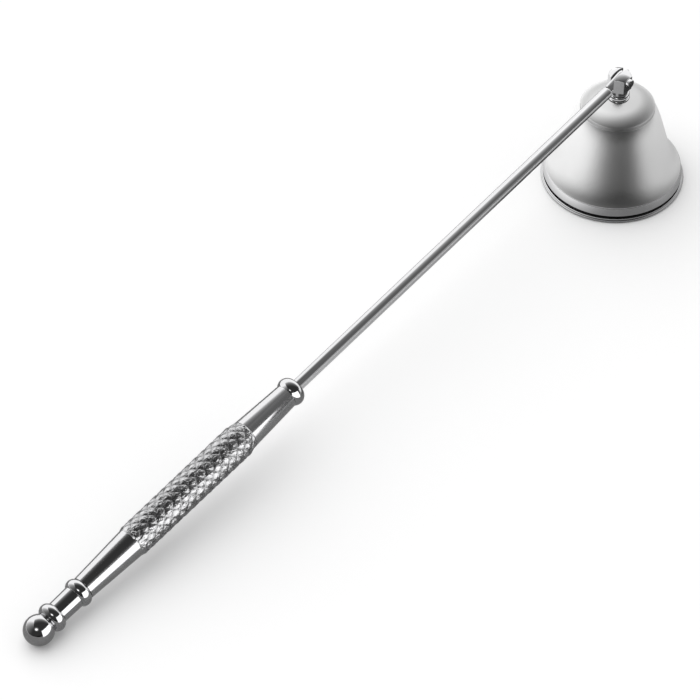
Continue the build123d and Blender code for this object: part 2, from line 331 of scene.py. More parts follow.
def put_piece(name, surface, material, body, node, smooth=40.0, marks=None):
    """Make or remake one finished piece, with its finish, body and slot, in place of its CAD node.

    marks is an optional (attribute name, one value for each point) pair that the finish reads.
    """
    old = bpy.data.objects.get(name)
    if old:
        bpy.data.objects.remove(old)
    points, faces, corner_uv = surface
    mesh = bpy.data.meshes.new(name)
    mesh.from_pydata(points, [], faces)
    if mesh.validate():
        raise RuntimeError(f"{name} has faces that Blender had to mend")
    mesh.uv_layers.new(name="turning").data.foreach_set("uv", corner_uv.astype(np.float32).ravel())
    if marks:
        mesh.attributes.new(marks[0], "FLOAT", "POINT").data.foreach_set("value", marks[1].astype(np.float32))
    mesh.shade_smooth()
    mesh.set_sharp_from_angle(angle=np.radians(smooth))
    mesh.materials.append(material)
    piece = bpy.data.objects.new(name, mesh)
    bpy.context.scene.collection.objects.link(piece)
    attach(piece, body)
    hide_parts(node)
    return piece


def add_node(tree, kind, inputs=None, **settings):
    """Add one node: its settings, then each input set to a value or linked to another node's output."""
    node = tree.nodes.new(kind)
    for name, value in settings.items():
        setattr(node, name, value)
    for socket, value in (inputs or {}).items():
        if isinstance(value, bpy.types.NodeSocket):
            tree.links.new(value, node.inputs[socket])
        else:
            node.inputs[socket].default_value = value
    return node


def fresh_material(name):
    """The material of that name with its nodes cleared, made if it isn't there."""
    material = bpy.data.materials.get(name) or bpy.data.materials.new(name)
    material.use_nodes = True
    material.node_tree.nodes.clear()
    return material


def satin_steel(finish):
    """Stainless steel, spun to shape and satined on the lathe with a fine abrasive wheel.

    The wheel leaves rings round the bell, too fine to see one by one. They spread a reflection up and down
    the wall, so light and dark run down the bell in soft upright bands. The crease under the crown is rougher,
    and painted darker as shade.
    """
    material = fresh_material("satin_spun_stainless_steel")
    tree = material.node_tree
    turning = add_node(tree, "ShaderNodeUVMap", uv_map="turning")
    along = add_node(tree, "ShaderNodeSeparateXYZ", {0: turning.outputs[0]})
    # Wheel marks are about 0.05 mm apart; they are drawn at 0.3 mm so that they show
    spacing = {0: along.outputs["Y"], 1: 1 / (0.3 * MM)}
    rings = add_node(tree, "ShaderNodeMath", spacing, operation="MULTIPLY")
    wheel = {"W": rings.outputs[0], "Scale": 1.0, "Detail": 3.0}
    marks = add_node(tree, "ShaderNodeTexNoise", wheel, noise_dimensions="1D")
    place = add_node(tree, "ShaderNodeTexCoord")
    # Slow changes of pressure on the wheel, about 9 mm across
    pressure = {"Vector": place.outputs["Object"], "Scale": 1 / (9 * MM), "Detail": 2.0}
    cloud = add_node(tree, "ShaderNodeTexNoise", pressure)
    both = {0: marks.outputs[0], 1: 0.5, 2: cloud.outputs[0]}
    mixed = add_node(tree, "ShaderNodeMath", both, operation="MULTIPLY_ADD")
    rough = add_node(tree, "ShaderNodeMapRange", {
        "Value": mixed.outputs[0], "From Min": 0.45, "From Max": 1.05,
        "To Min": finish.satin_roughness - 0.03, "To Max": finish.satin_roughness + 0.03,
    })
    # The crease mark paints shade into the crease under the crown as a darker colour, and roughens the satin
    # there
    crease = add_node(tree, "ShaderNodeAttribute", attribute_name="crease").outputs["Fac"]
    colours = {"Factor": crease, "A": (*finish.satin_colour, 1), "B": (*finish.crease_shade_colour, 1)}
    tint = add_node(tree, "ShaderNodeMix", colours, data_type="RGBA")
    duller = {0: crease, 1: 0.2, 2: rough.outputs[0]}
    dull = add_node(tree, "ShaderNodeMath", duller, operation="MULTIPLY_ADD")
    relief = {"Height": marks.outputs[0], "Strength": 0.06, "Distance": 0.02 * MM}
    bump = add_node(tree, "ShaderNodeBump", relief)
    round_bell = add_node(tree, "ShaderNodeTangent", direction_type="UV_MAP", uv_map="turning")
    shader = add_node(tree, "ShaderNodeBsdfPrincipled", {
        "Base Color": tint.outputs["Result"], "Metallic": 1.0, "Roughness": dull.outputs[0],
        "Anisotropic": 0.3, "Anisotropic Rotation": 0.25,
        "Normal": bump.outputs[0], "Tangent": round_bell.outputs[0],
    })
    add_node(tree, "ShaderNodeOutputMaterial", {"Surface": shader.outputs[0]})
    return material


def polished_chrome(finish):
    """Bright chrome plate over polished steel.

    It mirrors the studio sharply. Faint wiping marks and a slight waviness of the plating soften the mirror
    here and there. The bottom of the rim's groove is painted dark as shade.
    """
    material = fresh_material("polished_chrome_plate")
    tree = material.node_tree
    place = add_node(tree, "ShaderNodeTexCoord")
    # Wiping marks about 2.5 mm long
    wiping = {"Vector": place.outputs["Object"], "Scale": 1 / (2.5 * MM), "Detail": 5.0}
    wipes = add_node(tree, "ShaderNodeTexNoise", wiping)
    rough = add_node(tree, "ShaderNodeMapRange", {
        "Value": wipes.outputs[0], "From Min": 0.35, "From Max": 0.7,
        "To Min": finish.chrome_roughness - 0.02, "To Max": finish.chrome_roughness + 0.05,
    })
    # Waviness of the plating, about 1.6 mm from crest to crest
    waviness = {"Vector": place.outputs["Object"], "Scale": 1 / (1.6 * MM), "Detail": 1.0}
    waves = add_node(tree, "ShaderNodeTexNoise", waviness)
    relief = {"Height": waves.outputs[0], "Strength": 0.05, "Distance": 0.05 * MM}
    bump = add_node(tree, "ShaderNodeBump", relief)
    # The groove mark paints shade: the bottom of the rim's groove takes a dark colour
    rim_groove_shade = add_node(tree, "ShaderNodeAttribute", attribute_name="rim_groove_shade").outputs["Fac"]
    colours = {"Factor": rim_groove_shade, "A": (*finish.chrome_colour, 1), "B": (*finish.rim_groove_shade_colour, 1)}
    tint = add_node(tree, "ShaderNodeMix", colours, data_type="RGBA")
    shader = add_node(tree, "ShaderNodeBsdfPrincipled", {
        "Base Color": tint.outputs["Result"], "Metallic": 1.0,
        "Roughness": rough.outputs[0], "Normal": bump.outputs[0],
    })
    add_node(tree, "ShaderNodeOutputMaterial", {"Surface": shader.outputs[0]})
    return material


def knurled_chrome(finish):
    """Chrome plate over a rolled diamond knurl.

    The tops of the diamonds are as bright as the rest of the handle. The grooves are rougher, and painted
    darker as shade. Torn metal from the rolling makes the knurl sparkle in small specks.
    """
    material = fresh_material("chrome_plate_on_rolled_knurl")
    tree = material.node_tree
    depth = add_node(tree, "ShaderNodeAttribute", attribute_name="groove").outputs["Fac"]
    place = add_node(tree, "ShaderNodeTexCoord")
    # Torn metal of the rolled knurl, about 0.8 mm from crest to crest; none on the smooth tapers
    tearing = {"Vector": place.outputs["Object"], "Scale": 1 / (0.8 * MM), "Detail": 2.0}
    grain = add_node(tree, "ShaderNodeTexNoise", tearing)
    rolled = add_node(tree, "ShaderNodeMath", {0: depth, 1: 8.0}, operation="MULTIPLY", use_clamp=True)
    where = {0: grain.outputs[0], 1: rolled.outputs[0]}
    torn = add_node(tree, "ShaderNodeMath", where, operation="MULTIPLY")
    rough = add_node(tree, "ShaderNodeMapRange", {
        "Value": depth, "To Min": finish.chrome_roughness + 0.1, "To Max": finish.chrome_roughness + 0.25,
    })
    # Painted shade: the colour darkens towards the groove colour with the groove mark
    colours = {"Factor": depth, "A": (*finish.chrome_colour, 1), "B": (*finish.knurl_groove_shade_colour, 1)}
    tint = add_node(tree, "ShaderNodeMix", colours, data_type="RGBA")
    relief = {"Height": torn.outputs[0], "Strength": 1.0, "Distance": 0.3 * MM}
    bump = add_node(tree, "ShaderNodeBump", relief)
    shader = add_node(tree, "ShaderNodeBsdfPrincipled", {
        "Base Color": tint.outputs["Result"], "Metallic": 1.0,
        "Roughness": rough.outputs[0], "Normal": bump.outputs[0],
    })
    add_node(tree, "ShaderNodeOutputMaterial", {"Surface": shader.outputs[0]})
    return material


def zinc_plate(finish):
    """Zinc plate on machined steel, on the screw and washer inside the bell.

    It is greyer and duller than the chrome, with a fine cloudy grain.
    """
    material = fresh_material("zinc_plated_machined_steel")
    tree = material.node_tree
    place = add_node(tree, "ShaderNodeTexCoord")
    # Cloudy grain of the plating, about 0.6 mm
    cloudy = {"Vector": place.outputs["Object"], "Scale": 1 / (0.6 * MM), "Detail": 4.0}
    grain = add_node(tree, "ShaderNodeTexNoise", cloudy).outputs[0]
    rough = add_node(tree, "ShaderNodeMapRange", {"Value": grain, "To Min": 0.28, "To Max": 0.5})
    bump = add_node(tree, "ShaderNodeBump", {"Height": grain, "Strength": 0.1, "Distance": 0.03 * MM})
    shader = add_node(tree, "ShaderNodeBsdfPrincipled", {
        "Base Color": (*finish.zinc_colour, 1), "Metallic": 1.0,
        "Roughness": rough.outputs[0], "Normal": bump.outputs[0],
    })
    add_node(tree, "ShaderNodeOutputMaterial", {"Surface": shader.outputs[0]})
    return material


def lit_cloth(strength):
    """Sheer white tent cloth with light behind it: it glows by the share that each point of a card holds."""
    material = fresh_material("lit_white_cloth")
    tree = material.node_tree
    glow = add_node(tree, "ShaderNodeAttribute", attribute_name="glow")
    light = add_node(tree, "ShaderNodeMath", {0: glow.outputs["Fac"], 1: strength}, operation="MULTIPLY")
    lit = add_node(tree, "ShaderNodeEmission", {"Strength": light.outputs[0]})
    sheer = add_node(tree, "ShaderNodeBsdfTransparent")
    shader = add_node(tree, "ShaderNodeAddShader", {0: lit.outputs[0], 1: sheer.outputs[0]})
    add_node(tree, "ShaderNodeOutputMaterial", {"Surface": shader.outputs[0]})
    return material


def table_card(name, colour_value, gloss, near=1.0):
    """Card of the photo table: a faint paper tooth, with a soft sheen where it is coated.

    near is the share of light that the card keeps close to the bell, which stands in its own shade.
    """
    material = fresh_material(name)
    tree = material.node_tree
    place = add_node(tree, "ShaderNodeTexCoord")
    # Tooth of the card, about 0.8 mm
    paper = {"Vector": place.outputs["Object"], "Scale": 1 / (0.8 * MM), "Detail": 2.0}
    tooth = add_node(tree, "ShaderNodeTexNoise", paper)
    relief = {"Height": tooth.outputs[0], "Strength": 0.02, "Distance": 0.05 * MM}
    bump = add_node(tree, "ShaderNodeBump", relief)
    reach = add_node(tree, "ShaderNodeVectorMath", {0: place.outputs["Object"]}, operation="LENGTH")
    # The bell's shade ends between 50 and 130 mm from its middle
    fading = {"Value": reach.outputs["Value"], "From Min": 50 * MM, "From Max": 130 * MM, "To Min": near}
    shade = add_node(tree, "ShaderNodeMapRange", fading).outputs[0]
    tint = add_node(tree, "ShaderNodeVectorMath", {0: colour_value, "Scale": shade}, operation="SCALE")
    shine = add_node(tree, "ShaderNodeMath", {0: shade, 1: gloss}, operation="MULTIPLY")
    matt = add_node(tree, "ShaderNodeBsdfDiffuse", {"Color": tint.outputs[0], "Normal": bump.outputs[0]})
    sheen = add_node(tree, "ShaderNodeBsdfGlossy", {"Color": shine.outputs[0], "Roughness": 0.3})
    shader = add_node(tree, "ShaderNodeAddShader", {0: matt.outputs[0], 1: sheen.outputs[0]})
    add_node(tree, "ShaderNodeOutputMaterial", {"Surface": shader.outputs[0]})
    return material


class SNUFFER_OT_satin_bell(bpy.types.Operator):
    """Build the spun satin bell"""

    bl_idname = "snuffer.satin_bell"
    bl_label = "Satin bell"

    def execute(self, context):
        """The wall is a cubic curve; the crown's upright edge goes over in three arcs to a shallow dome."""
        bell = context.scene.snuffer_bell
        drop = bell.crease_height - bell.rim_height
        crease = np.array([bell.crown_radius, bell.crease_height])
        skirt = np.array([bell.skirt_radius, bell.rim_height])
        flare, foot = np.radians(36.0), np.radians(48.0)
        upper = crease + 0.26 * drop * np.array([np.sin(flare), -np.cos(flare)])
        lower = skirt - 0.28 * drop * np.array([np.sin(foot), -np.cos(foot)])
        outside = bezier([crease, upper, lower, skirt], 56)
        inside = outside - np.array([bell.wall, 0])
        recess, ceiling = SEAT_BOX[0].z, bell.crown_height - 1.3 * MM
        seat = 2.79 * MM
        edge, shoulder = 0.9 * MM, 7.3 * MM
        edge_turn, dome_turn = np.radians(48.0), np.radians(86.0)
        inset = bell.crown_radius - edge - (shoulder - edge) * np.cos(edge_turn)
        dome = (inset + shoulder * np.cos(dome_turn)) / np.cos(dome_turn)
        dome_start = bell.crown_height - dome * (1 - np.sin(dome_turn))
        level = dome_start - shoulder * np.sin(dome_turn)
        edge_top = level + (shoulder - edge) * np.sin(edge_turn)
        cap = arc((0, bell.crown_height - dome), dome, np.arccos(seat / dome), dome_turn, 14)
        round_shoulder = arc((inset, level), shoulder, dome_turn, edge_turn, 28)
        round_edge = arc((bell.crown_radius - edge, edge_top), edge, edge_turn, 0, 12)
        corner = (ceiling - bell.crease_height) * 0.85
        inner_corner = arc((inside[0, 0] - corner, ceiling - corner), corner, 0, np.pi / 2, 12)
        tongue, foot_level = bell.skirt_radius - 0.5 * MM, 1.64 * MM
        corners = np.concatenate([
            [(SPIGOT_HOLE, recess, 0), (seat, recess, 0)],
            with_easing(cap[:-1]),
            with_easing(round_shoulder[:-1]),
            with_easing(round_edge),
            [(*outside[0], 0.12 * MM)],
            with_easing(outside[1:-1]),
            [(*outside[-1], 0)],
            [(tongue, bell.rim_height, 0), (tongue, foot_level, 0)],
            [(inside[-1, 0], foot_level, 0.1 * MM)],
            with_easing(inside[::-1]),
            with_easing(inner_corner),
            [(SPIGOT_HOLE, ceiling, 0)],
        ])
        profile = eased(corners, closed=True)[:, ::-1]
        segments = 220
        surface = turned(profile, BELL_AXES, segments)
        # The painted crease shade, a darker and rougher satin, fades out over 0.7 mm above the upright edge
        low = np.clip((edge_top + 0.7 * MM - profile[:, 0]) / (0.7 * MM), 0, 1)
        on_edge = (profile[:, 0] > bell.crease_height) & (profile[:, 1] > bell.crown_radius - edge)
        satin = satin_steel(context.scene.snuffer_finish)
        marks = ("crease", np.repeat(low * on_edge, segments))
        put_piece("spun_bell", surface, satin, "bell", "bell_shell", marks=marks)
        return {"FINISHED"}


class SNUFFER_OT_polished_rim(bpy.types.Operator):
    """Build the polished rim that the bell stands on"""

    bl_idname = "snuffer.polished_rim"
    bl_label = "Polished rim"

    def execute(self, context):
        """A flat foot, a half-round lip, a groove and a sloping band with a rounded upper edge, turned."""
        bell = context.scene.snuffer_bell
        rim, top, lip = bell.rim_radius, bell.rim_height, bell.lip_height
        mouth, rebate = bell.skirt_radius - bell.wall, bell.skirt_radius - 0.46 * MM
        groove, band_foot = rim - 1.2 * MM, lip + 0.95 * MM
        rebate_foot = 1.6 * MM
        corners = np.concatenate([
            [(mouth, 0, 0.1 * MM)],
            bead(0, lip, rim - 0.6 * MM, rim),
            [(groove, lip, 0), (groove, band_foot, 0), (rim - 0.55 * MM, band_foot, 0.1 * MM)],
            [(bell.skirt_radius + 0.15 * MM, top, 0.22 * MM)],
            [(rebate, top, 0), (rebate, rebate_foot, 0), (mouth, rebate_foot, 0)],
        ])
        profile = eased(corners, closed=True)[:, ::-1]
        segments = 256
        surface = turned(profile, BELL_AXES, segments)
        level, out = profile.T
        within = (level > 0.9 * lip) & (level < band_foot + 0.02 * MM) & (out > rebate)
        # The bottom of the rim's groove is marked for a painted shade
        rim_groove_shade = ("rim_groove_shade", np.repeat(within & (out < groove + 0.1 * MM), segments))
        chrome = polished_chrome(context.scene.snuffer_finish)
        put_piece("rim_band_and_lip", surface, chrome, "bell", "rim_ring", marks=rim_groove_shade)
        return {"FINISHED"}


class SNUFFER_OT_hinge(bpy.types.Operator):
    """Build the seat, the slotted hexagonal post and the cross pin"""

    bl_idname = "snuffer.hinge"
    bl_label = "Hinge"

    def ear(self, bell, foot, top, edge):
        """One ear of the post: half a hexagon, cut off by the slot at its edge, under a turned dome.

        The outline is carried up to the dome z(r) = top - (R - sqrt(R^2 - r^2)), rounded over by a quarter
        circle, and drawn in to its middle along the dome.
        """
        flat, corner = bell.post_across_flats / 2, bell.post_across_flats / 2 / np.cos(np.pi / 6)
        rise = 1.2 * MM
        bulge = (corner**2 + rise**2) / 2 / rise
        cut = corner - edge * np.tan(np.pi / 6)
        ease = 0.1 * MM
        half = corner / 2
        hexagon = [(cut, edge, ease), (half, flat, ease), (-half, flat, ease), (-cut, edge, ease)]
        outline = eased(hexagon, True, 5)
        loop = np.concatenate([outline, outline[:1]])
        travel = np.concatenate([[0], np.cumsum(np.linalg.norm(np.diff(loop, axis=0), axis=1))])
        even = np.linspace(0, travel[-1], 120, endpoint=False)
        stops = np.unique(np.concatenate([even, travel[:-1]]).round(9))
        outline = np.stack([np.interp(stops, travel, loop[:, 0]), np.interp(stops, travel, loop[:, 1])], 1)
        ahead = np.roll(outline, -1, 0) - np.roll(outline, 1, 0)
        inward = np.stack([-ahead[:, 1], ahead[:, 0]], 1) / np.linalg.norm(ahead, axis=1, keepdims=True)
        centre = outline.mean(0)
        inward *= np.sign(np.sum(inward * (centre - outline)))
        over = 0.09 * MM
        quarter = np.linspace(0, np.pi / 2, 6)[:, None, None]
        rim = outline + inward * over * (1 - np.cos(quarter))
        drawn = centre + (rim[-1] - centre) * np.linspace(0.85, 0.15, 7)[:, None, None]
        spread = np.concatenate([outline[None], rim, drawn])
        height = top - bulge + np.sqrt(bulge**2 - np.sum(spread**2, 2))
        height[1 : 1 + len(quarter)] -= over * (1 - np.sin(quarter[:, :, 0]))
        height[0] = foot
        middle = top - bulge + np.sqrt(bulge**2 - np.sum(centre**2))
        points = np.concatenate([spread, height[:, :, None]], 2)
        return grid(points, False, [(*centre, foot), (*centre, middle)])

    def execute(self, context):
        """The seat, the post's base and the pin are turned; the post's two ears are halves of a hexagon."""
        bell = context.scene.snuffer_bell
        chrome = polished_chrome(context.scene.snuffer_finish)
        low, high = SEAT_BOX[0].z, SEAT_BOX[1].z
        flank, crown = 2.75 * MM, bell.crown_height
        seat = np.concatenate([
            [(SPIGOT_HOLE, low, 0), (flank, low, 0)],
            bead(crown, high - crown, flank, SEAT_BOX[1].x),
            [(SPIGOT_HOLE, high, 0)],
        ])
        surface = turned(eased(seat, True)[:, ::-1], BELL_AXES, 128)
        put_piece("post_seat_ring", surface, chrome, "bell", "post_seat")
        foot, top = high + 2.8 * MM, POST_BOX[1].z
        end, screw, neck = POST_BOX[0].z, 1.29 * MM, 2.6 * MM
        screw_top, spigot = 32.75 * MM, 2.0 * MM
        base = np.concatenate([
            [(screw, screw_top, 0), (screw, end, 0), (spigot, end, 0), (spigot, high, 0)],
            bead(high, 1.4 * MM, neck, 3.05 * MM),
            [(neck, foot, 0), (1.0 * MM, foot, 0)],
        ])
        near = self.ear(bell, foot, top, bell.slot_near)
        far = self.ear(bell, foot, top, bell.slot_far)
        far = (far[0] * np.array([-1, -1, 1]), far[1], far[2])
        post = joined(turned(eased(base)[:, ::-1], BELL_AXES, 96, (screw_top, foot)), near, far)
        put_piece("slotted_hex_post", post, chrome, "bell", "hinge_post", smooth=30)
        flat, head, tail = bell.post_across_flats / 2, bell.pin_head_radius, 1.3 * MM
        shaft, tail_end, head_end = 0.9 * MM, -flat - 0.4 * MM, flat + 1.1 * MM
        pin = eased([
            (tail_end, 0.3 * tail, 0),
            (-flat - 0.36 * MM, tail, 0.2 * MM),
            (-flat, tail, 0),
            (-flat, shaft, 0),
            (flat, shaft, 0),
            (flat, head, 0.05 * MM),
            (flat + 1.04 * MM, head, 0.2 * MM),
            (head_end, 0.3 * head, 0),
        ])
        surface = turned(pin, PIN_AXES, 72, (tail_end, head_end))
        put_piece("cross_pin", surface, chrome, "bell", "hinge_pin")
        return {"FINISHED"}


class SNUFFER_OT_inner_fixing(bpy.types.Operator):
    """Give the screw and washer inside the bell their plating"""

    bl_idname = "snuffer.inner_fixing"
    bl_label = "Inner fixing"

    def execute(self, context):
        """The two CAD nodes stay as they are and take a zinc-plated finish."""
        zinc = zinc_plate(context.scene.snuffer_finish)
        for name in ("inner_washer", "fixing_screw"):
            node = frame["nodes"][name]
            node.data.materials.clear()
            node.data.materials.append(zinc)
        return {"FINISHED"}


class SNUFFER_OT_rod(bpy.types.Operator):
    """Build the rod with its flattened eye"""

    bl_idname = "snuffer.rod"
    bl_label = "Rod"

    def execute(self, context):
        """The rod is turned; its eye is a flat profile carried round the pin.

        Ahead of the pin the eye narrows by k for each unit along, so its reach at the turn a is 1 over the
        larger of (|sin a| + k cos a) / radius and cos a / length. Behind the pin its reach is the radius.
        """
        handle = context.scene.snuffer_handle
        axes = handle_axes(handle)
        origin, axis, side, over = axes
        chrome = polished_chrome(context.scene.snuffer_finish)
        start, radius, tail = 5.8 * MM, handle.rod_radius, 1.5 * MM
        end = 234.8 * MM
        bar = eased([
            (start, radius - 0.5 * MM, 0),
            (start + 0.5 * MM, radius, 0.2 * MM),
            (handle.rod_reach, radius, 0),
            (handle.rod_reach, tail, 0),
            (end - 0.3 * MM, tail, 0),
            (end, tail - 0.3 * MM, 0),
        ])
        eye, bore, half = handle.eye_radius, 0.95 * MM, handle.eye_thickness / 2
        # The eye's middle is 0.15 mm on the far side of the pin's middle
        aside = -0.15 * MM - origin[1]
        narrow = 1.5 * MM
        shoulder = np.arctan2(narrow, start)
        even = np.linspace(-np.pi, np.pi, 120, endpoint=False)
        turn = np.unique(np.concatenate([even, [-shoulder, shoulder]]))
        slant = np.abs(np.sin(turn)) + (eye - narrow) / start * np.cos(turn)
        ahead = 1 / np.maximum(slant / eye, np.cos(turn) / start)
        reach = np.where(np.abs(turn) < np.pi / 2, ahead, eye)
        ease = 0.12 * MM
        edge = eased([(-half, 0, 0), (-half, MM, ease), (half, MM, ease), (half, 0, 0)], True, 5)
        spread = bore + (reach - bore) * edge[:, 1:] / MM
        ring = np.cos(turn)[:, None] * axis + np.sin(turn)[:, None] * over
        points = origin + (aside + edge[:, :1, None]) * side + spread[:, :, None] * ring
        surface = joined(turned(bar, axes, 96, (start, end)), grid(points, True))
        put_piece("rod_with_eye", surface, chrome, "handle", "rod")
        return {"FINISHED"}


class SNUFFER_OT_handle_rings(bpy.types.Operator):
    """Build the bead rings, the neck between them and the ball"""

    bl_idname = "snuffer.handle_rings"
    bl_label = "Rings, neck and ball"

    def execute(self, context):
        """Each ring is a bead between two flat sides, the neck a cone and the ball a sphere, all turned."""
        handle = context.scene.snuffer_handle
        axes = handle_axes(handle)
        chrome = polished_chrome(context.scene.snuffer_finish)
        bore = TAIL_BORE
        # node: start along the rod, width, radius of the flat sides, radius of the bead, all in mm
        rings = {
            "front_collar": (137.3, 3.7, 3.15, 4.05),
            "tail_collar": (217.45, 3.35, 3.1, 4.0),
            "end_collar": (226.8, 3.5, 2.95, 4.05),
        }
        for node, sizes in rings.items():
            start, width, flank, radius = (value * MM for value in sizes)
            round_bead = bead(start, width, flank, radius)
            corners = np.concatenate([[(bore, start, 0)], round_bead, [(bore, start + width, 0)]])
            surface = turned(eased(corners, closed=True)[:, ::-1], axes, 144)
            put_piece("bead_" + node, surface, chrome, "handle", node)
        start, end = 220.8 * MM, 226.8 * MM
        cone = [(start, bore, 0), (start, 3.15 * MM, 0), (end, 3.05 * MM, 0), (end, bore, 0)]
        neck = eased(cone, True)
        put_piece("plain_neck", turned(neck, axes, 144), chrome, "handle", "tail_neck")
        ball, face_radius = handle.ball_radius, 2.8 * MM
        face = 230.3 * MM
        bottom = face + 5 * MM
        centre = face + np.sqrt(ball**2 - face_radius**2)
        turn = np.arccos((face - centre) / ball)
        sphere = arc((centre, 0), ball, turn, 0.01, 72)
        profile = np.concatenate([[(bottom, 0.2 * MM), (bottom, bore), (face, bore)], sphere])
        surface = turned(profile, axes, 144, (bottom, centre + ball))
        put_piece("ball_end", surface, chrome, "handle", "ball_finial")
        return {"FINISHED"}


class SNUFFER_OT_knurled_grip(bpy.types.Operator):
    """Build the grip with its diamond knurl"""

    bl_idname = "snuffer.knurled_grip"
    bl_label = "Knurled grip"

    def execute(self, context):
        """Two smooth tapers and between them a barrel with two crossing sets of helical grooves.

        With n starts, a pitch p and turn the share of a full turn, the two sets follow n turn + along / p and
        the same with a minus. A diamond stands between the grooves as a pillow of height
        (|sin pi right| |sin pi left|)^0.6. The radius is the barrel's radius less the depth of the groove.
        """
        handle = context.scene.snuffer_handle
        axes = handle_axes(handle)
        bore, start = TAIL_BORE, handle.rod_reach + 3.7 * MM
        front = start + 15.6 * MM
        back = front + handle.knurl_length
        end = back + 17.35 * MM
        rows, columns = 300, 240
        front_radius, back_radius = 4.1 * MM, 4.2 * MM
        tapers = eased([(start, bore, 0), (start, 3.4 * MM, 0.1 * MM), (front, front_radius, 0)])
        along = np.linspace(front, back, rows)
        stations = [front, front + 3.0 * MM, back - 1.2 * MM, back]
        barrel = np.interp(along, stations, [front_radius, 4.75 * MM, 4.6 * MM, back_radius])
        tail = eased([(back, back_radius, 0), (end, 3.3 * MM, 0.1 * MM), (end, bore, 0)])
        turn = np.arange(columns) / columns
        starts, pitch = handle.knurl_starts, handle.knurl_pitch
        right = starts * turn + (along[:, None] - front) / pitch
        left = starts * turn - (along[:, None] - front) / pitch
        pillow = np.abs(np.sin(np.pi * right) * np.sin(np.pi * left))
        fade = np.clip((along - front) / (0.7 * MM), 0, 1) * np.clip((back - along) / (2.2 * MM), 0, 1)
        groove = (1 - pillow**0.6) * fade[:, None]
        cut = barrel[:, None] - handle.knurl_depth * groove
        # The groove mark paints shade into the grooves and roughens them; the rolled metal is a little dull on
        # the tops of the diamonds too
        depth = 0.12 * fade[:, None] + 0.88 * groove
        smooth = np.concatenate([tapers[:-1], np.column_stack([along, barrel]), tail[1:]])
        before = np.repeat(tapers[:-1, 1:], columns, 1)
        after = np.repeat(tail[1:, 1:], columns, 1)
        surface = turned(smooth, axes, columns, radius=np.concatenate([before, cut, after]))
        depths = np.concatenate([np.zeros_like(before), depth, np.zeros_like(after)])
        marks = ("groove", depths.ravel())
        knurl = knurled_chrome(context.scene.snuffer_finish)
        put_piece("knurled_grip", surface, knurl, "handle", "grip", 50, marks)
        return {"FINISHED"}


